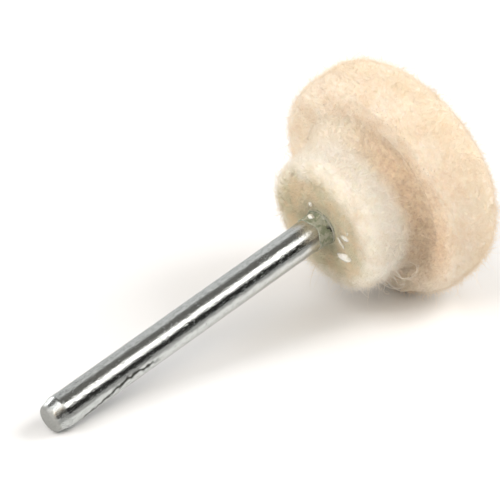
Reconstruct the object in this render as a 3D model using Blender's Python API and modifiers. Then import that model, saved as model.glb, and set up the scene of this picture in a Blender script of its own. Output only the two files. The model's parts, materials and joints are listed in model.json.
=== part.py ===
"""Felt polishing wheel: a stepped felt head bonded to a plain steel shank, lying on a bench.

Every piece is turned about one tool axis. Along that axis, positions are measured from the
shank's free end towards the felt. The tool lies as it would on a bench, held up by the rim of
its wheel and by the tip of its shank, so the tool axis climbs from the shank to the wheel.
World +X runs along the bench from the shank to the wheel, +Z is up, and the origin is below
the middle of the tool, on the bench.
"""

import math

import bpy

COLLECTION_NAME = "felt_polishing_wheel"

# Driving dimensions, in metres.
SHANK_RADIUS = 0.0015
SHANK_LENGTH = 0.0400
SHANK_EXPOSED = 0.0310
TIP_TAPER_LENGTH = 0.0009
TIP_TAPER_DEPTH = 0.0002
GRIP_GROOVES = 6
GRIP_GROOVE_WIDTH = 0.0005
GRIP_GROOVE_PITCH = 0.0013
GRIP_GROOVE_DEPTH = 0.00015

HUB_RADIUS = 0.0066
HUB_LENGTH = 0.0060
HUB_EDGE_RADIUS = 0.0015

WHEEL_RADIUS = 0.0110
WHEEL_THICKNESS = 0.0065
WHEEL_BACK_EDGE_RADIUS = 0.0012
WHEEL_FRONT_EDGE_RADIUS = 0.0028

GLUE_WALL = 0.0004
GLUE_FILM = 0.0002
GLUE_FILM_INSET = 0.0002
COLLAR_LENGTH = 0.0014
COLLAR_RADIUS = 0.0027
COLLAR_TIP_WALL = 0.00015

# Bonded pieces touch in reality; here each face stands this far off its neighbour's.
GAP = 0.0003

# Facets round a full turn, and along a rounded edge.
SHANK_FACETS = 36
GLUE_FACETS = 48
HUB_FACETS = 72
WHEEL_FACETS = 64
EDGE_FACETS = 4

MERGE_DISTANCE = 0.00001

# Places along the tool axis, from the shank's free end.
HUB_FACE = SHANK_EXPOSED
WHEEL_BACK = SHANK_EXPOSED + HUB_LENGTH
WHEEL_FRONT = WHEEL_BACK + WHEEL_THICKNESS
HUB_JOINT_FACE = WHEEL_BACK - GLUE_FILM - 2 * GAP

# Radii that nest round the shank.
GLUE_BORE = SHANK_RADIUS + GAP
GLUE_RADIUS = GLUE_BORE + GLUE_WALL
FELT_BORE = GLUE_RADIUS + GAP

# The glue closes round the shank's buried end, and the felt's bore ends just past the glue.
GLUE_BORE_END = SHANK_LENGTH + GAP
GLUE_END = GLUE_BORE_END + GLUE_WALL
FELT_BORE_END = GLUE_END + GAP


def clear_objects():
    """Removes whatever the scene holds."""
    for old in list(bpy.data.objects):
        bpy.data.objects.remove(old, do_unlink=True)


def new_collection(name):
    """A collection in the scene, for the tool's pieces."""
    collection = bpy.data.collections.new(name)
    bpy.context.scene.collection.children.link(collection)
    return collection


def principled(name, colour, roughness, metallic):
    """A material with one Principled BSDF."""
    material = bpy.data.materials.new(name)
    material.use_nodes = True
    shader = material.node_tree.nodes["Principled BSDF"]
    shader.inputs["Base Color"].default_value = (*colour, 1.0)
    shader.inputs["Roughness"].default_value = roughness
    shader.inputs["Metallic"].default_value = metallic
    return material


def edge_round(centre_radius, centre_along, size, start_degrees, end_degrees):
    """Points (radius, along) of a rounded edge; 90 degrees faces along the axis, 0 outward."""
    points = []
    for i in range(EDGE_FACETS + 1):
        angle = math.radians(start_degrees + (end_degrees - start_degrees) * i / EDGE_FACETS)
        points.append((centre_radius + size * math.cos(angle), centre_along + size * math.sin(angle)))
    return points


def turned(name, profile, facets, closed, material, collection, axis):
    """Turns a profile of (radius, along) points about the tool axis.

    The profile runs down the outer side, from the wheel end to the shank end. A closed profile
    joins its last point to its first, for a ring; an open one starts and ends on the axis.
    """
    mesh = bpy.data.meshes.new(name)
    count = len(profile)
    points = [(radius, 0.0, along) for radius, along in profile]
    edges = [(i, (i + 1) % count) for i in range(count if closed else count - 1)]
    mesh.from_pydata(points, edges, [])
    mesh.materials.append(material)
    piece = bpy.data.objects.new(name, mesh)
    collection.objects.link(piece)
    screw = piece.modifiers.new("Turn", "SCREW")
    screw.axis = "Z"
    screw.angle = 2 * math.pi
    screw.steps = facets
    screw.render_steps = facets
    screw.use_merge_vertices = True
    screw.merge_threshold = MERGE_DISTANCE
    screw.use_smooth_shade = True
    piece.parent = axis
    # Half a facet of turn puts a flat, not a corner, at the bottom of each round piece.
    piece.rotation_euler = (0.0, 0.0, math.pi / facets)
    return piece


def shank(collection, axis):
    """Ground steel pin with a tapered free end, and grooves on the end that the glue holds."""
    tip = (SHANK_RADIUS - TIP_TAPER_DEPTH, 0.0)
    profile = [(0.0, SHANK_LENGTH)]
    profile += [(SHANK_RADIUS - GRIP_GROOVE_DEPTH, SHANK_LENGTH)]
    profile += [(SHANK_RADIUS, SHANK_LENGTH - GRIP_GROOVE_DEPTH)]
    for i in range(GRIP_GROOVES):
        top = SHANK_LENGTH - (i + 1) * GRIP_GROOVE_PITCH + GRIP_GROOVE_WIDTH
        bottom = top - GRIP_GROOVE_WIDTH
        floor = SHANK_RADIUS - GRIP_GROOVE_DEPTH
        profile += [(SHANK_RADIUS, top), (floor, top - GRIP_GROOVE_DEPTH)]
        profile += [(floor, bottom + GRIP_GROOVE_DEPTH), (SHANK_RADIUS, bottom)]
    profile += [(SHANK_RADIUS, TIP_TAPER_LENGTH), tip, (0.0, 0.0)]
    steel = principled("bright_steel", (0.62, 0.62, 0.61), 0.22, 1.0)
    return turned("shank", profile, SHANK_FACETS, False, steel, collection, axis)


def shank_adhesive(collection, axis):
    """Cured glue: a cup round the shank's buried end, and the collar squeezed out at the hub."""
    collar_base = HUB_FACE - GAP
    collar_tip = collar_base - COLLAR_LENGTH
    collar_tip_radius = GLUE_BORE + COLLAR_TIP_WALL
    profile = [(0.0, GLUE_END), (GLUE_RADIUS, GLUE_END), (GLUE_RADIUS, collar_base)]
    for i in range(EDGE_FACETS + 1):
        # The collar sags in between its base on the hub and its feathered edge on the shank.
        down = i / EDGE_FACETS
        radius = collar_tip_radius + (COLLAR_RADIUS - collar_tip_radius) * (1 - down) ** 2
        profile.append((radius, collar_base - COLLAR_LENGTH * down))
    profile += [(GLUE_BORE, collar_tip), (GLUE_BORE, GLUE_BORE_END), (0.0, GLUE_BORE_END)]
    glue = principled("cured_glue", (0.42, 0.43, 0.34), 0.3, 0.0)
    return turned("shank_adhesive", profile, GLUE_FACETS, False, glue, collection, axis)


def felt_hub(collection, axis):
    """The small felt cylinder behind the wheel, bored through for the shank and its glue."""
    end = HUB_FACE + HUB_EDGE_RADIUS
    rim = HUB_RADIUS - HUB_EDGE_RADIUS
    profile = [(FELT_BORE, HUB_JOINT_FACE), (HUB_RADIUS, HUB_JOINT_FACE)]
    profile += edge_round(rim, end, HUB_EDGE_RADIUS, 0, -90)
    profile += [(FELT_BORE, HUB_FACE)]
    felt = principled("hub_felt", (0.80, 0.74, 0.63), 0.95, 0.0)
    return turned("felt_hub", profile, HUB_FACETS, True, felt, collection, axis)


def hub_adhesive(collection, axis):
    """The film of glue that holds the hub on the back of the wheel."""
    top = WHEEL_BACK - GAP
    outer = HUB_RADIUS - GLUE_FILM_INSET
    profile = [(FELT_BORE, top), (outer, top), (outer, top - GLUE_FILM), (FELT_BORE, top - GLUE_FILM)]
    glue = principled("glue_film", (0.45, 0.42, 0.32), 0.4, 0.0)
    return turned("hub_adhesive", profile, HUB_FACETS, True, glue, collection, axis)


def felt_wheel(collection, axis):
    """The pressed felt disc that does the polishing, with a well rounded front edge and a blind bore."""
    size = WHEEL_FRONT_EDGE_RADIUS
    front = edge_round(WHEEL_RADIUS - size, WHEEL_FRONT - size, size, 90, 0)
    size = WHEEL_BACK_EDGE_RADIUS
    back = edge_round(WHEEL_RADIUS - size, WHEEL_BACK + size, size, 0, -90)
    profile = [(0.0, WHEEL_FRONT), *front, *back]
    profile += [(FELT_BORE, WHEEL_BACK), (FELT_BORE, FELT_BORE_END), (0.0, FELT_BORE_END)]
    felt = principled("wheel_felt", (0.82, 0.70, 0.54), 0.95, 0.0)
    return turned("felt_wheel", profile, WHEEL_FACETS, False, felt, collection, axis)


def flat_distance(radius, facets):
    """How far from the axis the middle of a flat is, when its corners are at that radius."""
    return radius * math.cos(math.pi / facets)


def resting_tilt():
    """How far the axis climbs when the shank's tip and the wheel's back edge both touch down.

    Each rests on a flat: the tip on the edge of its end face, and the wheel on the first
    corner ring of its rounded back edge.
    """
    size = WHEEL_BACK_EDGE_RADIUS
    step = math.radians(90 / EDGE_FACETS)
    edge_radius = WHEEL_RADIUS - size + size * math.cos(step)
    edge_along = WHEEL_BACK + size - size * math.sin(step)
    tip = flat_distance(SHANK_RADIUS - TIP_TAPER_DEPTH, SHANK_FACETS)
    return math.atan2(flat_distance(edge_radius, WHEEL_FACETS) - tip, edge_along)


def lay_on_bench(axis):
    """Tilts the tool axis and sets the middle of the tool over the origin, its lowest point at 0."""
    tilt = resting_tilt()
    cos = math.cos(tilt)
    sin = math.sin(tilt)
    tip = flat_distance(SHANK_RADIUS - TIP_TAPER_DEPTH, SHANK_FACETS)
    size = WHEEL_FRONT_EDGE_RADIUS
    front = edge_round(WHEEL_RADIUS - size, WHEEL_FRONT - size, size, 90, 0)
    wheel_end = max(along * cos + flat_distance(radius, WHEEL_FACETS) * sin for radius, along in front)
    axis.rotation_euler = (0.0, math.pi / 2 - tilt, 0.0)
    axis.location = ((tip * sin - wheel_end) / 2, 0.0, tip * cos)


def main():
    clear_objects()
    collection = new_collection(COLLECTION_NAME)
    axis = bpy.data.objects.new("tool_axis", None)
    collection.objects.link(axis)
    for make in (shank, shank_adhesive, felt_hub, hub_adhesive, felt_wheel):
        make(collection, axis)
    lay_on_bench(axis)


main()
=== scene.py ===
"""Looks of the felt polishing wheel: fuzzy wool felt, cured glue and bright plated steel.

Every piece is made in the tool's own frame and then set in place by TOOL. In that frame Z runs
along the shank from its free end to the felt, X points down to the bench and Y across it.
A clock angle is measured about Z, from X (down) towards Y.
"""

import json
import math

import bmesh
import bpy
import numpy as np
from mathutils import Matrix, Vector, noise


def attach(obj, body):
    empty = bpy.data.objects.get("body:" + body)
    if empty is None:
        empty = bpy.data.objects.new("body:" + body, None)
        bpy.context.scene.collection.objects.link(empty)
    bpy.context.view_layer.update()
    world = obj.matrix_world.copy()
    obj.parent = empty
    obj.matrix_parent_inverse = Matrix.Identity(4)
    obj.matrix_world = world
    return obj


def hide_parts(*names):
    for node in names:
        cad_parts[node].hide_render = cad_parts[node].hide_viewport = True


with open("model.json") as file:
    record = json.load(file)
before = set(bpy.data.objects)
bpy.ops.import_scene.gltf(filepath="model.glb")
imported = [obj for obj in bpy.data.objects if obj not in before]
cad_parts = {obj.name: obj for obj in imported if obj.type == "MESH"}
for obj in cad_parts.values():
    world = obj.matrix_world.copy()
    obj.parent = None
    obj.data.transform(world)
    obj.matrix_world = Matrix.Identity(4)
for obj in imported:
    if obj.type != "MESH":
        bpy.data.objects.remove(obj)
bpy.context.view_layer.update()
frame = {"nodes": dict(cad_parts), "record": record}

MM = 0.001
BODY = "root"
SEED = 7

# ---------------------------------------------------------------- places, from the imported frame

MOUNTS = {mount["name"]: mount for mount in frame["record"]["mounts"]}
TIP = Vector(MOUNTS["shank_end"]["pos_m"])
ALONG = Vector(MOUNTS["working_face"]["axis"]).normalized()
DOWN = Vector((ALONG.z, 0.0, -ALONG.x))
ACROSS = ALONG.cross(DOWN)
TOOL = Matrix.Translation(TIP) @ Matrix((DOWN, ACROSS, ALONG)).transposed().to_4x4()
TO_TOOL = TOOL.inverted()


def span(node):
    """Where a CAD node starts and ends along the tool, and its largest radius, in metres."""
    points = [TO_TOOL @ vertex.co for vertex in frame["nodes"][node].data.vertices]
    along = [point.z for point in points]
    return min(along), max(along), max(math.hypot(point.x, point.y) for point in points)


_, SHANK_END, SHANK_RADIUS = span("shank")
HUB_START, _, HUB_RADIUS = span("felt_hub")
WHEEL_START, WHEEL_END, WHEEL_RADIUS = span("felt_wheel")

# The shank's free end: where its taper starts, and the radius, place and rounding of its face.
SHANK_TAPER = 1.15 * MM
SHANK_TIP_RADIUS = SHANK_RADIUS - 0.23 * MM
SHANK_FACE = -0.12 * MM
SHANK_FACE_EDGE = 0.42 * MM

# The felt: how its edges are rounded, how the hub flares into the wheel, and the shank's bore.
HUB_EDGE = 1.5 * MM
BACK_EDGE = 1.2 * MM
BACK_SLOPE = 1.8
FRONT_EDGE = 2.8 * MM
JOINT_FLARE = 1.5 * MM
JOINT_DEPTH = 0.8 * MM
FELT_BORE = SHANK_RADIUS + 0.05 * MM
FELT_BORE_END = SHANK_END + 0.4 * MM

# The wool's relief: where its middle lies and the depth of each layer of lumps, in millimetres
# out from the plain surface, with each layer's lump size. Then the hub's shift off centre.
WOOL_INSET = -0.2
WOOL_LAYERS = ((0.20, 4.2 * MM), (0.10, 1.5 * MM), (0.05, 0.6 * MM), (0.025, 0.25 * MM))
WOOL_SEED = 11
HUB_SHIFT = np.array([0.2, -0.25, 0.0]) * MM

# How far apart a turned mesh's points are along its outline, where it shows and where it doesn't.
FACE_STEP = 0.2 * MM
WHEEL_STEP = 0.12 * MM
HUB_STEP = 0.11 * MM
SHANK_STEP = 0.2 * MM
TIP_STEP = 0.07 * MM
COLLAR_STEP = 0.05 * MM
HIDDEN_STEP = 0.6 * MM
HIDDEN_SHANK_STEP = 1.5 * MM

# How many points a turned mesh has around the axis.
WHEEL_AROUND = 330
HUB_AROUND = 300
SHANK_AROUND = 240
COLLAR_AROUND = 200

# Fibres: sides of the thin tubes, and their width at places from root to tip.
TUBE_SIDES = 3
TUBE_PLACES = (0, 0.15, 0.7, 1)
TUBE_WIDTHS = (0.9, 1.0, 0.85, 0.35)

# Fibres: points along each one, and how many of each kind there are.
NAP_POINTS = 4
STRAY_POINTS = 14
HAIR_POINTS = 60
HAIR_SMOOTHING = 40
NAP_PIECE = 9500
WHEEL_NAPS = 5
HUB_NAPS = 3
STRAYS = 700
JOINT_STRAYS = 1200

# ---------------------------------------------------------------- colours, as (r, g, b)

WHEEL_WOOL = ((0.98, 0.885, 0.75), (0.88, 0.72, 0.54))
# Tan for the wheel's back face by the hub: partly tan wool, partly painted shade.
WHEEL_TAN_AND_SHADE = ((0.87, 0.66, 0.44), (0.66, 0.45, 0.28))
WHEEL_RIM = (0.94, 0.79, 0.58)
WORN_FRONT = (0.76, 0.63, 0.47)
FLECK = (0.20, 0.13, 0.09)
HUB_WOOL = ((0.99, 0.94, 0.85), (0.94, 0.85, 0.72))
HUB_TAN = ((0.86, 0.66, 0.44), (0.66, 0.45, 0.28))
HUB_AT_WHEEL = (0.97, 0.87, 0.72)
OLIVE_STAIN = (0.57, 0.51, 0.32)
OCHRE_STAIN = (0.69, 0.54, 0.33)
WET_STAIN = (0.36, 0.35, 0.23)
STEEL_BRIGHT = (0.61, 0.63, 0.62)
STEEL_DULL = (0.42, 0.44, 0.43)
# A painted dark reflection, low on the shank's near side.
STEEL_PAINTED_REFLECTION = (0.17, 0.175, 0.17)
STEEL_TAPER = (0.36, 0.37, 0.36)
STEEL_CUT = ((0.36, 0.36, 0.34), (0.48, 0.48, 0.46))
STEEL_SCAR = (0.05, 0.05, 0.045)
CURED_GLUE = ((0.21, 0.24, 0.16), (0.37, 0.38, 0.30))
DROP_GLUE = ((0.80, 0.78, 0.70), (0.90, 0.88, 0.82))
GLUE_LINT = (0.75, 0.73, 0.62)
# Painted shade in the glue collar's crack.
GLUE_CRACK_SHADE = (0.03, 0.03, 0.025)
BENCH_WHITE = ((0.86, 0.86, 0.86), (0.88, 0.88, 0.88))
LAMP_WARM = (1.0, 0.82, 0.62)
LAMP_SOFT = (1.0, 0.97, 0.93)
ROOM_AIR = (1.0, 0.95, 0.88)

# ---------------------------------------------------------------- meshes


def arc(centre_radius, centre_along, size, start_degrees, end_degrees, count, stretch=1.0):
    """Points (radius, along) of a rounded edge; 90 degrees faces along the tool, 0 outward.

    stretch draws the edge out along the tool.
    """
    points = []
    for angle in np.radians(np.linspace(start_degrees, end_degrees, count)):
        along = centre_along + stretch * size * math.sin(angle)
        points.append((centre_radius + size * math.cos(angle), along))
    return points


def resampled(profile, step):
    """The same outline with points about a step apart, and its corners kept."""
    points = [profile[0]]
    for start, end in zip(profile, profile[1:]):
        count = max(1, round(math.dist(start, end) / step))
        for i in range(1, count + 1):
            points.append(tuple(a + (b - a) * i / count for a, b in zip(start, end)))
    return points


def turned(name, profile, around, closed=False, shape=None, marks=None):
    """Turns an outline of (radius, along) points, running from the felt's end to the shank's.

    shape(points, normals) gives the place each point moves to, and marks(points) a value from 0
    to 1 that the material reads. A closed outline makes a ring; an open one starts and ends on
    the axis.
    """
    outline = np.array(profile)
    radii, alongs = outline[:, 0], outline[:, 1]
    following = np.roll(outline, -1, axis=0)
    before = np.roll(outline, 1, axis=0)
    if not closed:
        following[-1], before[0] = outline[-1], outline[0]
    tangent = following - before
    tangent /= np.linalg.norm(tangent, axis=1)[:, None] + 1e-12
    angles = np.arange(around) * 2 * math.pi / around
    cos, sin = np.cos(angles)[None, :], np.sin(angles)[None, :]
    points = np.stack([radii[:, None] * cos, radii[:, None] * sin, alongs[:, None] + 0 * cos], axis=-1)
    out, up = -tangent[:, 1:2], tangent[:, 0:1]
    normals = np.stack([out * cos, out * sin, up + 0 * cos], axis=-1)
    rows = len(profile)
    points, normals = points.reshape(-1, 3), normals.reshape(-1, 3)
    shades = marks(points) if marks else None
    if shape is not None:
        points = shape(points, normals)
    if not closed:
        for end in (slice(0, around), slice(-around, None)):
            points[end] = points[end].mean(axis=0)
    grid = np.arange(rows * around).reshape(rows, around)
    quads = []
    for i in range(rows if closed else rows - 1):
        lower, upper = grid[i], grid[(i + 1) % rows]
        quads.append(np.stack([lower, upper, np.roll(upper, -1), np.roll(lower, -1)], axis=-1))
    faces = np.concatenate(quads)
    mesh = bpy.data.meshes.new(name)
    mesh.from_pydata(points.tolist(), [], faces.tolist())
    return finished(name, mesh, shades, weld=not closed)


def finished(name, mesh, shades=None, weld=False):
    """The mesh as a smooth object, turned from the tool's frame into the bench's."""
    if shades is not None:
        shade = mesh.attributes.new("shade", "FLOAT", "POINT")
        shade.data.foreach_set("value", np.asarray(shades, np.float32))
    if weld:
        work = bmesh.new()
        work.from_mesh(mesh)
        bmesh.ops.remove_doubles(work, verts=work.verts, dist=1e-7)
        work.to_mesh(mesh)
        work.free()
    mesh.transform(TOOL)
    mesh.validate()
    mesh.shade_smooth()
    piece = bpy.data.objects.new(name, mesh)
    bpy.context.scene.collection.objects.link(piece)
    return piece


def lumps(points, size, seed):
    """Smooth noise from -1 to 1 whose bumps are about that size, at each of the points."""
    offset = Vector((seed * 3.1, seed * 7.7, seed * 1.3))
    return np.array([noise.noise(Vector(point) / size + offset) for point in points])


def strands(name, lines, radii, shades):
    """Fine closed tubes, one along each centre line, tapering at both ends.

    lines is an array of (strand, point, xyz); radii and shades hold one value for each strand.
    """
    count, length, _ = lines.shape
    tangents = np.gradient(lines, axis=1)
    tangents /= np.linalg.norm(tangents, axis=2, keepdims=True) + 1e-12
    helper = np.where(np.abs(tangents[:, :1, 2:3]) < 0.8, [[[0.0, 0.0, 1.0]]], [[[1.0, 0.0, 0.0]]])
    side = np.cross(tangents, np.broadcast_to(helper, tangents.shape))
    side /= np.linalg.norm(side, axis=2, keepdims=True) + 1e-12
    other = np.cross(tangents, side)
    taper = np.interp(np.linspace(0, 1, length), TUBE_PLACES, TUBE_WIDTHS)
    width = radii[:, None, None] * taper[None, :, None]
    rings = []
    for corner in range(TUBE_SIDES):
        angle = 2 * math.pi * corner / TUBE_SIDES
        rings.append(lines + width * (math.cos(angle) * side + math.sin(angle) * other))
    vertices = np.stack(rings, axis=2).reshape(-1, 3)
    index = np.arange(count * length * TUBE_SIDES).reshape(count, length, TUBE_SIDES)
    quads = []
    for corner in range(TUBE_SIDES):
        following = (corner + 1) % TUBE_SIDES
        a, b = index[:, :-1, corner], index[:, :-1, following]
        c, d = index[:, 1:, following], index[:, 1:, corner]
        quads.append(np.stack([a, b, c, d], axis=-1).reshape(-1, 4))
    caps = np.concatenate([index[:, 0, ::-1], index[:, -1, :]])
    mesh = bpy.data.meshes.new(name)
    mesh.from_pydata(vertices.tolist(), [], np.concatenate(quads).tolist() + caps.tolist())
    return finished(name, mesh, np.repeat(shades, length * TUBE_SIDES))


# ---------------------------------------------------------------- materials


class Nodes:
    """Short calls for building a material's node tree around its Principled BSDF."""

    def __init__(self, name):
        self.material = bpy.data.materials.new(name)
        self.material.use_nodes = True
        self.tree = self.material.node_tree
        self.shader = self.tree.nodes["Principled BSDF"]
        turn = self.add("ShaderNodeMapping")
        turn.inputs["Location"].default_value = TO_TOOL.translation
        turn.inputs["Rotation"].default_value = TO_TOOL.to_euler()
        self.link(self.add("ShaderNodeTexCoord").outputs["Object"], turn.inputs["Vector"])
        self.place = turn.outputs["Vector"]

    def add(self, kind, **settings):
        """A new node of that kind, with those settings."""
        node = self.tree.nodes.new(kind)
        for key, value in settings.items():
            setattr(node, key, value)
        return node

    def link(self, source, target):
        """Connects a socket, or sets a plain value."""
        if hasattr(source, "is_linked"):
            self.tree.links.new(source, target)
        else:
            target.default_value = source

    def noise(self, size, detail=3.0, roughness=0.55, stretch=None, seed=0.0):
        """Noise from 0 to 1 with features of about that size, in metres."""
        mapping = self.add("ShaderNodeMapping")
        self.link(self.place, mapping.inputs["Vector"])
        mapping.inputs["Location"].default_value = (seed * 0.013, seed * 0.007, seed * 0.011)
        mapping.inputs["Scale"].default_value = stretch or (1.0, 1.0, 1.0)
        node = self.add("ShaderNodeTexNoise")
        self.link(mapping.outputs["Vector"], node.inputs["Vector"])
        node.inputs["Scale"].default_value = 1.0 / size
        node.inputs["Detail"].default_value = detail
        node.inputs["Roughness"].default_value = roughness
        return node.outputs["Fac"]

    def math(self, operation, first, second=0.0):
        """A sum, product or other operation on sockets or numbers."""
        node = self.add("ShaderNodeMath", operation=operation)
        for value, target in zip((first, second), node.inputs):
            self.link(value, target)
        return node.outputs["Value"]

    def ramp(self, value, low, high, out_low=0.0, out_high=1.0):
        """Smoothly maps low..high onto out_low..out_high, and holds beyond."""
        node = self.add("ShaderNodeMapRange", interpolation_type="SMOOTHSTEP")
        self.link(value, node.inputs["Value"])
        limits = {"From Min": low, "From Max": high, "To Min": out_low, "To Max": out_high}
        for key, number in limits.items():
            node.inputs[key].default_value = number
        return node.outputs["Result"]

    def mix(self, share, first, second):
        """Mixes two colours, given as sockets or as (r, g, b)."""
        node = self.add("ShaderNodeMix", data_type="RGBA")
        self.link(share, node.inputs["Factor"])
        for value, target in ((first, node.inputs["A"]), (second, node.inputs["B"])):
            self.link((*value, 1.0) if isinstance(value, tuple) else value, target)
        return node.outputs["Result"]

    def tool_place(self):
        """Sockets for down, across and along, and for the radius from the tool's axis."""
        split = self.add("ShaderNodeSeparateXYZ")
        self.link(self.place, split.inputs["Vector"])
        down, across, along = (split.outputs[axis] for axis in "XYZ")
        squares = [self.math("MULTIPLY", side, side) for side in (down, across)]
        return down, across, along, self.math("SQRT", self.math("ADD", *squares))

    def shade(self):
        """The value from 0 to 1 that the mesh carries at each point."""
        return self.add("ShaderNodeAttribute", attribute_name="shade").outputs["Fac"]

    def bump(self, height, distance, strength, below=None):
        """A normal bent by that height, on top of the normal below it."""
        node = self.add("ShaderNodeBump")
        node.inputs["Strength"].default_value = strength
        node.inputs["Distance"].default_value = distance
        self.link(height, node.inputs["Height"])
        if below is not None:
            self.link(below, node.inputs["Normal"])
        return node.outputs["Normal"]

    def principled(self, **values):
        """The finished material, with those inputs of its Principled BSDF set or connected."""
        names = {"colour": "Base Color", "coat": "Coat Weight", "coat_roughness": "Coat Roughness",
                 "sheen": "Sheen Weight", "sheen_roughness": "Sheen Roughness",
                 "specular": "Specular IOR Level", "subsurface": "Subsurface Weight",
                 "subsurface_radius": "Subsurface Radius", "subsurface_scale": "Subsurface Scale"}
        for key, value in values.items():
            self.link(value, self.shader.inputs[names.get(key, key.capitalize())])
        return self.material


def felt(name, wool, tint, fibre=False):
    """Pressed wool: mottled colour, fine grain and soft light inside, or one of its fibres.

    wool is its light and its dark colour; tint(n, colour) adds one piece's stains, and on the wheel
    painted shade.
    """
    light, dark = wool
    n = Nodes(name)
    broad = n.noise(3.2 * MM, detail=2.0, seed=1)
    mottle = n.noise(0.55 * MM, detail=4.0, roughness=0.65, seed=2)
    grain = n.noise(0.13 * MM, detail=3.0, roughness=0.7, stretch=(1.0, 1.0, 2.0), seed=3)
    tone = n.math("ADD", n.ramp(broad, 0.35, 0.65, 0.0, 0.4), n.ramp(mottle, 0.3, 0.7, 0.0, 0.4))
    if fibre:
        tone = n.math("ADD", tone, n.ramp(n.shade(), 0.0, 1.0, -0.6, 0.5))
        plain = n.mix(tone, light, dark)
        colour = n.mix(0.8, plain, tint(n, plain))
        return n.principled(colour=colour, roughness=0.9, specular=0.15, sheen=0.2)
    tone = n.math("ADD", tone, n.ramp(grain, 0.3, 0.7, -0.1, 0.35))
    colour = tint(n, n.mix(tone, light, dark))
    height = n.math("ADD", grain, n.math("MULTIPLY", mottle, 2.0))
    return n.principled(colour=colour, roughness=1.0, specular=0.1, sheen=0.4, sheen_roughness=0.6,
                        subsurface=0.3, subsurface_radius=(1.0, 0.62, 0.38),
                        subsurface_scale=0.7 * MM, normal=n.bump(height, 0.06 * MM, 0.7))


def speckled_tan(n, wool):
    """Tan, speckled from its light colour to its dark one."""
    return n.mix(n.ramp(n.noise(0.35 * MM, detail=3.0, seed=14), 0.45, 0.65), *wool)


def glue_stain(n, colour):
    """Olive and tan glue soaked into the hub's end face, and a darker tan near side where it meets the
    wheel.
    """
    down, across, along, radius = n.tool_place()
    near = n.ramp(n.math("ADD", across, n.math("MULTIPLY", down, 0.2)), 1.0 * MM, -6.0 * MM)
    joint = n.ramp(along, WHEEL_START - 2.4 * MM, WHEEL_START - 0.5 * MM, 0.0, 0.75)
    colour = n.mix(joint, colour, HUB_AT_WHEEL)
    darker_near_side = n.math("MULTIPLY", n.ramp(along, WHEEL_START - 2.8 * MM, WHEEL_START - 0.6 * MM), near)
    colour = n.mix(n.math("MULTIPLY", darker_near_side, 0.7), colour, speckled_tan(n, HUB_TAN))
    face = n.ramp(along, HUB_START + 0.5 * MM, HUB_START + 1.5 * MM, 1.0, 0.0)
    ragged = n.math("MULTIPLY", n.noise(1.6 * MM, seed=4), 3.0 * MM)
    edge = n.math("ADD", radius, ragged)
    soaked = n.math("MULTIPLY", n.ramp(edge, 5.6 * MM, 8.2 * MM, 1.0, 0.0), face)
    stain = n.mix(n.ramp(n.noise(1.5 * MM, seed=5), 0.4, 0.62), OLIVE_STAIN, OCHRE_STAIN)
    colour = n.mix(n.math("MULTIPLY", soaked, 0.9), colour, stain)
    wet = n.math("MULTIPLY", n.ramp(edge, 2.9 * MM, 5.0 * MM, 1.0, 0.0), face)
    return n.mix(n.math("MULTIPLY", wet, 0.7), colour, WET_STAIN)


def wheel_tints(n, colour):
    """Tan and painted shade on the back face's near side, dark flecks, a warmer rim and a duller front.
    """
    down, across, along, radius = n.tool_place()
    rim = n.ramp(radius, WHEEL_RADIUS - 0.9 * MM, WHEEL_RADIUS - 0.2 * MM)
    beyond = n.ramp(along, WHEEL_START + 1.4 * MM, WHEEL_START + 3.0 * MM)
    colour = n.mix(n.math("MULTIPLY", rim, n.math("MULTIPLY", beyond, 0.4)), colour, WHEEL_RIM)
    worn = n.math("MULTIPLY", n.ramp(along, WHEEL_END - 1.0 * MM, WHEEL_END - 0.2 * MM),
                  n.ramp(n.noise(2.0 * MM, seed=12), 0.35, 0.65, 0.25, 0.6))
    colour = n.mix(worn, colour, WORN_FRONT)
    back = n.ramp(along, WHEEL_START + 0.3 * MM, WHEEL_START + 0.9 * MM, 1.0, 0.0)
    # Painted shade, mixed with tan wool, on the back face's near side where the hub shades it.
    near = n.ramp(n.math("ADD", across, n.math("MULTIPLY", down, 0.3)), 4.0 * MM, -6.0 * MM, 0.02, 0.6)
    near = n.math("MULTIPLY", near, n.ramp(down, 3.0 * MM, 8.0 * MM, 1.0, 0.3))
    near = n.math("MULTIPLY", near, n.ramp(down, -7.5 * MM, -3.0 * MM, 0.4, 1.0))
    deep = n.ramp(radius, WHEEL_RADIUS - 0.6 * MM, WHEEL_RADIUS - 2.2 * MM)
    darker_near_side = n.math("MULTIPLY", n.math("MULTIPLY", back, deep), near)
    colour = n.mix(darker_near_side, colour, speckled_tan(n, WHEEL_TAN_AND_SHADE))
    flecks = n.ramp(n.noise(0.2 * MM, detail=2.0, seed=6), 0.62, 0.7)
    patch = n.ramp(n.noise(2.4 * MM, detail=1.0, seed=9), 0.45, 0.6)
    upper = n.ramp(down, -2.0 * MM, -6.0 * MM)
    share = n.math("MULTIPLY", n.math("MULTIPLY", flecks, back), n.math("MULTIPLY", patch, upper))
    return n.mix(n.math("MULTIPLY", share, 0.6), colour, FLECK)


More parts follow.
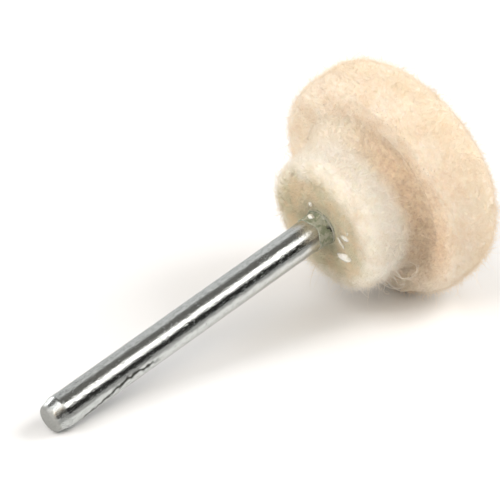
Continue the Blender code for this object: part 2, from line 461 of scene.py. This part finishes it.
def steel():
    """Bright plating: orange peel, draw marks, dull blotches, a painted dark reflection and a cut end.
    """
    n = Nodes("bright_plated_steel")
    down, across, along, _ = n.tool_place()
    peel = n.noise(0.7 * MM, detail=3.0, roughness=0.6, stretch=(1.0, 1.0, 0.35), seed=1)
    fine = n.noise(0.12 * MM, detail=3.0, roughness=0.65, stretch=(1.0, 1.0, 0.4), seed=2)
    blotch = n.noise(0.3 * MM, detail=4.0, roughness=0.7, stretch=(1.0, 1.0, 0.6), seed=3)
    dull = n.ramp(blotch, 0.45, 0.7)
    worn = n.math("ADD", along, n.math("MULTIPLY", n.noise(0.5 * MM, seed=4), 0.6 * MM))
    end = n.ramp(worn, 0.34 * MM, 0.62 * MM, 1.0, 0.0)
    colour = n.mix(n.math("MULTIPLY", dull, 0.8), STEEL_BRIGHT, STEEL_DULL)
    # How far each point is from the axis towards the shank's lower near side, made uneven.
    lower = n.math("SUBTRACT", n.math("MULTIPLY", down, 0.75), n.math("MULTIPLY", across, 0.66))
    lower = n.math("ADD", lower, n.math("MULTIPLY", n.math("SUBTRACT", peel, 0.5), 0.5 * MM))
    # A painted dark reflection on a band of it.
    painted_reflection = n.math("MULTIPLY", n.ramp(lower, 0.36 * MM, 0.6 * MM), n.ramp(lower, 1.0 * MM, 0.76 * MM))
    colour = n.mix(n.math("MULTIPLY", painted_reflection, 0.75), colour, STEEL_PAINTED_REFLECTION)
    colour = n.mix(end, colour, n.mix(n.ramp(fine, 0.35, 0.65), *STEEL_CUT))
    colour = n.mix(n.shade(), colour, STEEL_SCAR)
    taper = n.ramp(along, SHANK_TAPER - 0.05 * MM, SHANK_TAPER + 0.1 * MM, 0.13, 0.0)
    colour = n.mix(n.math("MULTIPLY", taper, 2.5), colour, STEEL_TAPER)
    rough = n.math("ADD", n.ramp(dull, 0.0, 1.0, 0.13, 0.28), n.math("MULTIPLY", end, 0.35))
    rough = n.math("ADD", rough, taper)
    normal = n.bump(fine, 0.018 * MM, 0.8, below=n.bump(peel, 0.045 * MM, 0.7))
    return n.principled(colour=colour, metallic=1.0, roughness=rough, normal=normal)


def glue(name, colours, roughness, coat):
    """Cured glue: glossy, uneven and mottled, with specks of lint in it and painted shade in its cracks.
    """
    n = Nodes(name)
    mottle = n.noise(0.5 * MM, detail=4.0, seed=1)
    tone = n.mix(n.ramp(mottle, 0.38, 0.6), *colours)
    lint = n.ramp(n.noise(0.1 * MM, detail=2.0, seed=2), 0.62, 0.7)
    tone = n.mix(n.math("MULTIPLY", lint, 0.4), tone, GLUE_LINT)
    # Painted shade in the glue's cracks.
    tone = n.mix(n.shade(), tone, GLUE_CRACK_SHADE)
    return n.principled(colour=tone, roughness=roughness, coat=coat, coat_roughness=0.08,
                        subsurface=0.3, subsurface_radius=(1.0, 0.9, 0.6),
                        subsurface_scale=0.4 * MM, normal=n.bump(mottle, 0.12 * MM, 0.5))


def bench_material():
    """Plain matt white."""
    n = Nodes("bench_white")
    tone = n.mix(n.noise(30 * MM, detail=2.0), *BENCH_WHITE)
    return n.principled(colour=tone, roughness=0.75, specular=0.2)


# ---------------------------------------------------------------- felt


def wheel_outline():
    """The front face, the rim, the back face, and the bore that the shank ends in."""
    front = arc(WHEEL_RADIUS - FRONT_EDGE, WHEEL_END - FRONT_EDGE, FRONT_EDGE, 90, 0, 22)
    back_along = WHEEL_START + BACK_SLOPE * BACK_EDGE
    back = arc(WHEEL_RADIUS - BACK_EDGE, back_along, BACK_EDGE, 0, -90, 14, BACK_SLOPE)
    shown = [*front, *back, (HUB_RADIUS * 0.9, WHEEL_START)]
    hidden = [shown[-1], (FELT_BORE, WHEEL_START), (FELT_BORE, FELT_BORE_END), (0.0, FELT_BORE_END)]
    middle = resampled([(0.0, WHEEL_END), front[0]], FACE_STEP)
    return [*middle, *resampled(shown, WHEEL_STEP)[1:], *resampled(hidden, HIDDEN_STEP)[1:]]


def hub_outline():
    """A ring whose end at the wheel flares out and dips under the wheel's own wool."""
    end = arc(HUB_RADIUS - HUB_EDGE, HUB_START + HUB_EDGE, HUB_EDGE, 0, -90, 14)
    outer = HUB_RADIUS + JOINT_FLARE
    flare = arc(outer, WHEEL_START - JOINT_FLARE + 0.03 * MM, JOINT_FLARE, 90, 180, 14)
    joint = WHEEL_START + JOINT_DEPTH
    shown = resampled([(outer, joint), *flare, *end, (FELT_BORE, HUB_START)], HUB_STEP)
    return [*resampled([(FELT_BORE, joint), (outer, joint)], HIDDEN_STEP), *shown[1:]]


def wool_relief(points):
    """Hollows and tufts of pressed wool, in metres, none of them inside the bore."""
    radius = np.hypot(points[:, 0], points[:, 1])
    shown = np.clip((radius - FELT_BORE) / (0.4 * MM), 0, 1)
    height = np.full(len(points), WOOL_INSET)
    for i, (depth, size) in enumerate(WOOL_LAYERS):
        height += depth * lumps(points, size, WOOL_SEED + i)
    return height * shown * MM


def wheel_shape(points, normals):
    """The wool relief alone."""
    return points + normals * wool_relief(points)[:, None]


def hub_shape(points, normals):
    """Wool relief, a dent where glue has drawn the felt in, and a hub set a little off centre."""
    radius = np.hypot(points[:, 0], points[:, 1])
    face = np.clip((HUB_START + 1.2 * MM - points[:, 2]) / MM, 0, 1)
    dent = -0.15 * MM * face * np.exp(-(((radius - 1.5 * MM) / (1.3 * MM)) ** 2))
    moved = points + normals * (wool_relief(points) + dent)[:, None]
    free = np.clip((radius - FELT_BORE) / (2.0 * MM), 0, 1)
    free *= np.clip((WHEEL_START - points[:, 2]) / (2.5 * MM), 0, 1)
    return moved + free[:, None] * HUB_SHIFT


def scatter(outline, count, rng, shape, keep):
    """Random places on a turned surface and its normals; keep(radius, along) weighs them."""
    outline = np.array(outline)
    middle = (outline[1:] + outline[:-1]) / 2
    leg = outline[1:] - outline[:-1]
    area = np.linalg.norm(leg, axis=1) * middle[:, 0] * keep(middle[:, 0], middle[:, 1])
    chosen = rng.choice(len(area), size=count, p=area / area.sum())
    place = outline[chosen] + leg[chosen] * rng.random(count)[:, None]
    tangent = leg[chosen] / np.linalg.norm(leg[chosen], axis=1)[:, None]
    angle = rng.random(count) * 2 * math.pi
    cos, sin = np.cos(angle), np.sin(angle)
    points = np.stack([place[:, 0] * cos, place[:, 0] * sin, place[:, 1]], axis=1)
    normals = np.stack([-tangent[:, 1] * cos, -tangent[:, 1] * sin, tangent[:, 0]], axis=1)
    return shape(points, normals), normals


def grown_lines(points, normals, lengths, count, rng, lean, curl):
    """Centre lines of wool fibres that leave the surface and bend as they go."""
    total = len(points)
    spin = rng.normal(size=(total, 3))
    spin -= normals * (spin * normals).sum(1, keepdims=True)
    spin /= np.linalg.norm(spin, axis=1, keepdims=True)
    direction = normals * lean[:, None] + spin
    direction /= np.linalg.norm(direction, axis=1, keepdims=True)
    turn = rng.normal(size=(total, 3)) * curl
    lines = np.empty((total, count, 3))
    root_depth = 0.04 * MM
    lines[:, 0] = points - normals * root_depth
    step = lengths[:, None] / (count - 1)
    for i in range(1, count):
        lines[:, i] = lines[:, i - 1] + direction * step
        direction = direction + turn + rng.normal(size=(total, 3)) * curl * 0.5
        direction /= np.linalg.norm(direction, axis=1, keepdims=True)
    return lines


def nap(name, outline, shape, keep, seed, longest):
    """The nap of a felt surface: mostly short flat fibres, some that stand up.

    keep(radius, along) weighs where they grow, and longest is in millimetres.
    """
    rng = np.random.default_rng(SEED + seed)
    points, normals = scatter(outline, NAP_PIECE, rng, shape, keep)
    lengths = (0.3 + longest * rng.random(NAP_PIECE) ** 2) * MM
    lean = 0.2 + 1.8 * rng.random(NAP_PIECE) ** 2
    lines = grown_lines(points, normals, lengths, NAP_POINTS, rng, lean, 0.5)
    radii = (0.005 + 0.005 * rng.random(NAP_PIECE)) * MM
    return strands(name, lines, radii, rng.random(NAP_PIECE))


def stray(name, outline, count, shape, keep, seed, shortest, longest):
    """Long loose fibres that curl out of the felt. Their lengths are in millimetres."""
    rng = np.random.default_rng(SEED + seed)
    points, normals = scatter(outline, count, rng, shape, keep)
    lengths = (shortest + (longest - shortest) * rng.random(count) ** 1.5) * MM
    lean = 0.4 + 1.2 * rng.random(count)
    lines = grown_lines(points, normals, lengths, STRAY_POINTS, rng, lean, 0.24)
    radii = (0.009 + 0.008 * rng.random(count)) * MM
    return strands(name, lines, radii, rng.random(count))


# Where each loose hair runs: (down, across, along from the wheel's back face), in millimetres.
HAIR_PATHS = (
    ((6.2, -3.4, -2.6), (8.2, -2.4, -2.0), (9.5, -1.4, -1.6),
     (9.7, -2.0, -1.4), (9.1, -2.2, -1.5), (9.2, -1.5, -1.7)),
    ((5.6, -4.2, -2.4), (7.0, -4.1, -1.9), (7.7, -3.6, -1.5), (7.5, -4.3, -1.3), (7.0, -4.2, -1.5)),
    ((5.9, -3.2, -2.2), (6.9, -3.9, -1.8), (6.4, -5.4, -1.4), (5.3, -7.0, -1.2), (4.6, -7.4, -1.0)),
    ((3.6, -6.2, -2.0), (3.9, -6.8, -1.6), (4.8, -6.6, -1.4), (6.0, -5.4, -1.3), (6.5, -5.2, -1.1)),
    ((5.0, -4.9, -2.8), (5.6, -5.6, -2.4), (5.2, -6.6, -2.0), (4.2, -7.2, -1.8), (3.5, -7.0, -1.5)),
    ((6.4, -2.6, -3.0), (7.2, -2.9, -2.6), (7.6, -3.9, -2.3), (7.1, -4.9, -2.0), (6.6, -5.2, -1.9)),
    ((6.0, -3.9, -1.6), (7.4, -4.4, -1.2), (8.3, -3.4, -0.9), (8.6, -2.0, -0.8), (8.0, -1.2, -1.0)),
    ((6.5, -2.0, -2.0), (8.0, -2.4, -1.6), (8.8, -3.4, -1.2), (8.2, -4.6, -1.0), (7.2, -5.6, -0.9)),
    ((6.6, -1.0, -3.4), (7.3, -0.8, -3.3), (7.7, -0.2, -3.0), (7.4, 0.4, -2.8), (7.0, 0.4, -2.7)),
)


def loose_hairs():
    """A few long hairs that hang in loops from the hub's lower near side, by the wheel."""
    lines = []
    for path in HAIR_PATHS:
        places = np.linspace(0, len(path) - 1, HAIR_POINTS)
        line = np.stack([np.interp(places, range(len(path)), axis) for axis in zip(*path)], axis=1)
        for _ in range(HAIR_SMOOTHING):
            line[1:-1] = (line[:-2] + 2 * line[1:-1] + line[2:]) / 4
        lines.append((line + np.array([0.0, 0.0, WHEEL_START / MM])) * MM)
    radii = np.linspace(0.03, 0.038, len(lines)) * MM
    return strands("felt_loose_hairs", np.array(lines), radii, np.linspace(0.0, 0.1, len(lines)))


def felt_wheel():
    """The wheel's body, and its nap and stray fibres."""
    outline = wheel_outline()
    front_start = WHEEL_END - 0.4 * MM
    body = turned("felt_wheel_body", outline, WHEEL_AROUND, shape=wheel_shape)

    def sides(radius, along):
        return (radius > HUB_RADIUS) * (along < front_start) * 1.0

    def front(radius, along):
        return (along >= front_start) * 1.0

    fibres = []
    for i in range(WHEEL_NAPS):
        name = f"felt_wheel_nap_{i}"
        fibres.append(nap(name, outline, wheel_shape, sides, seed=40 + i, longest=0.8))
    fibres.append(nap("felt_wheel_nap_front", outline, wheel_shape, front, seed=50, longest=0.6))
    fibres.append(stray("felt_wheel_stray", outline, STRAYS, wheel_shape, sides,
                        seed=55, shortest=0.8, longest=2.6))
    return [([body], felt("wheel_felt", WHEEL_WOOL, wheel_tints)),
            (fibres, felt("wheel_felt_fibre", WHEEL_WOOL, wheel_tints, fibre=True))]


def felt_hub():
    """The hub's body, its nap and stray fibres, and the fuzz and loose hairs by the wheel."""
    outline = hub_outline()
    body = turned("felt_hub_body", outline, HUB_AROUND, closed=True, shape=hub_shape)

    def outside(radius, along):
        return (radius > SHANK_RADIUS + 0.5 * MM) * (along < WHEEL_START)

    def joint(radius, along):
        return np.clip((along - WHEEL_START + 2.6 * MM) / (2 * MM), 0, 1) * (along < WHEEL_START)

    fibres = []
    for i in range(HUB_NAPS):
        name = f"felt_hub_nap_{i}"
        fibres.append(nap(name, outline, hub_shape, outside, seed=60 + i, longest=0.8))
    fibres.append(stray("felt_hub_stray", outline, STRAYS, hub_shape, outside,
                        seed=65, shortest=0.8, longest=3.2))
    fibres.append(stray("felt_joint_fuzz", outline, JOINT_STRAYS, hub_shape, joint,
                        seed=66, shortest=0.6, longest=1.7))
    fibres.append(loose_hairs())
    return [([body], felt("hub_felt", HUB_WOOL, glue_stain)),
            (fibres, felt("hub_felt_fibre", HUB_WOOL, glue_stain, fibre=True))]


# ---------------------------------------------------------------- steel and glue


def clock(points):
    """Degrees round the tool axis, from down (0) towards +Y (90)."""
    return np.degrees(np.arctan2(points[:, 1], points[:, 0]))


# The middle of the shank's scar: places along it, in millimetres, and clock angles in degrees.
SCAR_PLACES = (2.4, 3.8, 5.6, 8.2, 9.6, 11.0)
SCAR_ANGLES = (-57, -64, -80, -91, -85, -79)
SCAR_END = 12 * MM


def scar(points):
    """How deep in the jagged scar each point is, from 0 to 1: low on the shank, by its free end."""
    along = points[:, 2] / MM
    path = np.interp(along, SCAR_PLACES, SCAR_ANGLES)
    path = path + 3.5 * np.sin(along * 7.1) * np.sin(along * 2.3) + 5.0 * lumps(points, 0.3 * MM, 9)
    turn = np.abs((clock(points) - path + 180) % 360 - 180)
    away = turn * math.radians(1) * SHANK_RADIUS / MM
    width = 0.12 + 0.11 * (0.4 + 1.2 * lumps(points, 0.4 * MM, 8))
    inside = np.clip((along - 2.2) / 0.4, 0, 1) * np.clip((11.2 - along) / 1.5, 0, 1)
    return np.clip(1.5 - away / width, 0, 1) * inside


def shank():
    """The pin, with its taper, flat end face, faint waves and scar."""
    edge = SHANK_FACE_EDGE
    taper = [(SHANK_RADIUS, SHANK_TAPER + 0.08 * MM),
             (SHANK_RADIUS - 0.01 * MM, SHANK_TAPER - 0.05 * MM)]
    end = [*arc(SHANK_TIP_RADIUS - edge, SHANK_FACE + edge, edge, -8, -90, 7), (0.0, SHANK_FACE)]
    hidden = [(0.0, SHANK_END), (SHANK_RADIUS, SHANK_END), (SHANK_RADIUS, HUB_START + 0.4 * MM)]
    plain = [hidden[-1], (SHANK_RADIUS, SCAR_END)]
    scarred = [plain[-1], *taper, *end]
    outline = resampled(hidden, HIDDEN_SHANK_STEP)
    outline += resampled(plain, SHANK_STEP)[1:] + resampled(scarred, TIP_STEP)[1:]

    def shape(points, normals):
        wave = 0.003 * lumps(points, 1.4 * MM, 5) + 0.001 * lumps(points, 0.3 * MM, 6)
        return points + normals * ((wave - 0.03 * scar(points)) * MM)[:, None]

    body = turned("shank_detail", outline, SHANK_AROUND, shape=shape, marks=scar)
    return [([body], steel())]


def glue_collar():
    """A thin skin of glue with a ragged edge, thicker and cracked where it meets the hub; the crack has
    painted shade.
    """
    base = HUB_START + 0.6 * MM
    skin = HUB_START - 1.45 * MM
    inner = SHANK_RADIUS - 0.03 * MM
    # Places along the tool, and the glue's thickness there in millimetres.
    thickness = [(base, 0.42), (HUB_START + 0.25 * MM, 0.22), (HUB_START - 0.1 * MM, 0.11),
                 (HUB_START - 0.8 * MM, 0.07), (skin + 0.06 * MM, 0.05), (skin, 0.01)]
    outside = [(SHANK_RADIUS + thick * MM, along) for along, thick in thickness]
    outline = resampled([(inner, base), *outside, (inner, skin)], COLLAR_STEP)

    def crack(points):
        """How deep in the crack each point is, from 0 to 1. It climbs from clock angle -128 to -74."""
        turn = clock(points)
        climb = -0.6 + 0.9 * (turn + 152) / 70 + 0.3 * lumps(points, 0.35 * MM, 34)
        away = np.abs(points[:, 2] - (HUB_START + climb * MM)) / MM
        width = 0.12 + 0.13 * lumps(points, 0.3 * MM, 35)
        near = np.clip((turn + 128) / 14, 0, 1) * np.clip((-74 - turn) / 10, 0, 1)
        return np.clip(1.6 - away / width, 0, 1) * near

    def shape(points, normals):
        radius = np.hypot(points[:, 0], points[:, 1])
        shown = np.clip((radius - SHANK_RADIUS) / (0.04 * MM), 0, 1)
        lift = 0.05 * lumps(points, 0.9 * MM, 31) + 0.025 * lumps(points, 0.3 * MM, 32)
        lift = (lift - 0.06 * crack(points)) * shown * MM
        free = np.clip((HUB_START - points[:, 2]) / (1.7 * MM), 0, 1)
        ragged = free * (0.35 * lumps(points * np.array([1, 1, 0]), 1.2 * MM, 33) + 0.1) * MM
        moved = points + normals * lift[:, None]
        moved[:, 2] += ragged
        return moved

    collar = turned("glue_collar", outline, COLLAR_AROUND, closed=True, shape=shape, marks=crack)
    return [([collar], glue("cured_glue", CURED_GLUE, roughness=0.25, coat=0.6))]


# Each bead of glue: down, across, lift off the hub's face, length, width and height, in
# millimetres, and how far it is turned, in degrees.
BEADS = ((-2.15, 1.0, 0.0, 0.26, 0.22, 0.22, 0), (-1.6, 0.05, 0.8, 0.16, 0.34, 0.24, 15),
         (2.2, -2.2, 0.0, 0.80, 0.46, 0.26, -101), (-0.2, -2.9, 0.0, 0.46, 0.3, 0.16, -80),
         (0.7, -2.2, 0.1, 0.60, 0.10, 0.10, -30), (-0.9, -3.3, 0.0, 0.2, 0.12, 0.10, 20))


def glue_drops():
    """Whitish beads of glue, and a smear of it, left on the hub's end face."""
    pieces = []
    sunk = 0.03
    for i, (down, across, lift, length, width, height, turn) in enumerate(BEADS):
        mesh = bpy.data.meshes.new(f"glue_drop_{i}")
        work = bmesh.new()
        bmesh.ops.create_uvsphere(work, u_segments=32, v_segments=20, radius=1.0)
        face = np.array([[down * MM, across * MM, HUB_START]])
        surface = hub_shape(face, np.array([[0.0, 0.0, -1.0]]))[0]
        place = Vector(surface - [0.0, 0.0, (sunk + lift) * MM])
        spin = Matrix.Rotation(math.radians(turn), 3, "Z")
        for vertex in work.verts:
            swell = 1 + 0.3 * noise.noise(vertex.co * 1.4 + Vector((i * 5, 0, 0)))
            spot = Vector((vertex.co.x * length, vertex.co.y * width, vertex.co.z * height)) * swell
            vertex.co = place + spin @ spot * MM
        work.to_mesh(mesh)
        work.free()
        pieces.append(finished(mesh.name, mesh))
    return [(pieces, glue("glue_drop", DROP_GLUE, roughness=0.2, coat=0.8))]


def bench():
    """A plain pale floor under the tool."""
    bpy.ops.mesh.primitive_plane_add(size=6.0, location=(0.0, 0.0, 0.0))
    plane = bpy.context.object
    plane.name = "bench"
    plane.data.materials.append(bench_material())


# ---------------------------------------------------------------- camera and light

CAMERA_AZIMUTH = math.radians(-41.92)
CAMERA_ELEVATION = math.radians(27.20)
CAMERA_DISTANCE = 0.2501
CAMERA_TARGET = Vector((12.26, 13.70, 0.0)) * MM
CAMERA_ROLL = math.radians(0.41)
CAMERA_LENS = 194.0


def towards(azimuth, elevation):
    """Unit vector from the object towards an azimuth (0 is from -Y, 90 from +X) and elevation."""
    flat = math.cos(elevation)
    return Vector((math.sin(azimuth) * flat, -math.cos(azimuth) * flat, math.sin(elevation)))


def camera():
    """The photo's camera, found by fitting the CAD's outlines to it."""
    data = bpy.data.cameras.new("camera")
    data.lens = CAMERA_LENS
    data.sensor_width = 36.0
    data.clip_start = 0.01
    data.clip_end = 20.0
    piece = bpy.data.objects.new("camera", data)
    bpy.context.scene.collection.objects.link(piece)
    back = towards(CAMERA_AZIMUTH, CAMERA_ELEVATION)
    turn = back.to_track_quat("Z", "Y").to_matrix().to_4x4() @ Matrix.Rotation(CAMERA_ROLL, 4, "Z")
    piece.matrix_world = Matrix.Translation(CAMERA_TARGET + back * CAMERA_DISTANCE) @ turn
    bpy.context.scene.camera = piece


def panel(name, azimuth, elevation, width, height, power, roll=0.0, colour=(1.0, 1.0, 1.0)):
    """A soft rectangular light, a metre off, that faces the tool. Roll turns it about its middle."""
    data = bpy.data.lights.new(name, "AREA")
    data.shape = "RECTANGLE"
    data.size = width
    data.size_y = height
    data.energy = power
    data.color = colour
    light = bpy.data.objects.new(name, data)
    light.visible_camera = False
    bpy.context.scene.collection.objects.link(light)
    aim = towards(math.radians(azimuth), math.radians(elevation))
    turn = aim.to_track_quat("Z", "Y").to_matrix().to_4x4() @ Matrix.Rotation(math.radians(roll), 4, "Z")
    light.matrix_world = Matrix.Translation(aim) @ turn


def lights():
    """Soft panels on both sides and behind, a softbox on the near side, and a dim room."""
    panel("panel_left_low", 264, 23, 0.45, 0.65, 4.6)
    panel("panel_left_high", 270, 57, 0.75, 0.5, 3.8)
    panel("panel_near_left", 305, 42, 0.5, 0.4, 1.5, colour=LAMP_WARM)
    panel("panel_right_low", 76, 14, 0.8, 0.32, 5.6)
    panel("panel_right_high", 60, 46, 0.5, 0.35, 4.0)
    panel("softbox_near", 13, 56, 0.75, 0.36, 2.3, roll=-35, colour=LAMP_SOFT)
    panel("panel_far_low", 182, 18, 0.5, 0.4, 2.8)
    panel("card_far", 153, 33, 0.35, 1.1, 0.9)
    world = bpy.data.worlds.new("studio")
    bpy.context.scene.world = world
    world.use_nodes = True
    tree = world.node_tree
    background = tree.nodes["Background"]
    background.inputs["Color"].default_value = (*ROOM_AIR, 1.0)
    direction = tree.nodes.new("ShaderNodeTexCoord")
    split = tree.nodes.new("ShaderNodeSeparateXYZ")
    overhead = tree.nodes.new("ShaderNodeMapRange")
    limits = {"From Min": 0.5, "From Max": 0.9, "To Min": 0.03, "To Max": 0.19}
    for key, value in limits.items():
        overhead.inputs[key].default_value = value
    tree.links.new(direction.outputs["Generated"], split.inputs["Vector"])
    tree.links.new(split.outputs["Z"], overhead.inputs["Value"])
    tree.links.new(overhead.outputs["Result"], background.inputs["Strength"])


# ---------------------------------------------------------------- assembly


def dress(made, nodes=()):
    """Gives the pieces their material and body, and hides those CAD nodes."""
    for pieces, material in made:
        for piece in pieces:
            piece.data.materials.append(material)
            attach(piece, BODY)
    for node in nodes:
        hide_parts(node)


bpy.context.scene.view_settings.view_transform = "Standard"
camera()
lights()
bench()
dress(felt_wheel(), ["felt_wheel"])
dress(felt_hub(), ["felt_hub", "hub_adhesive"])
dress(shank(), ["shank"])
dress(glue_collar(), ["shank_adhesive"])
dress(glue_drops())
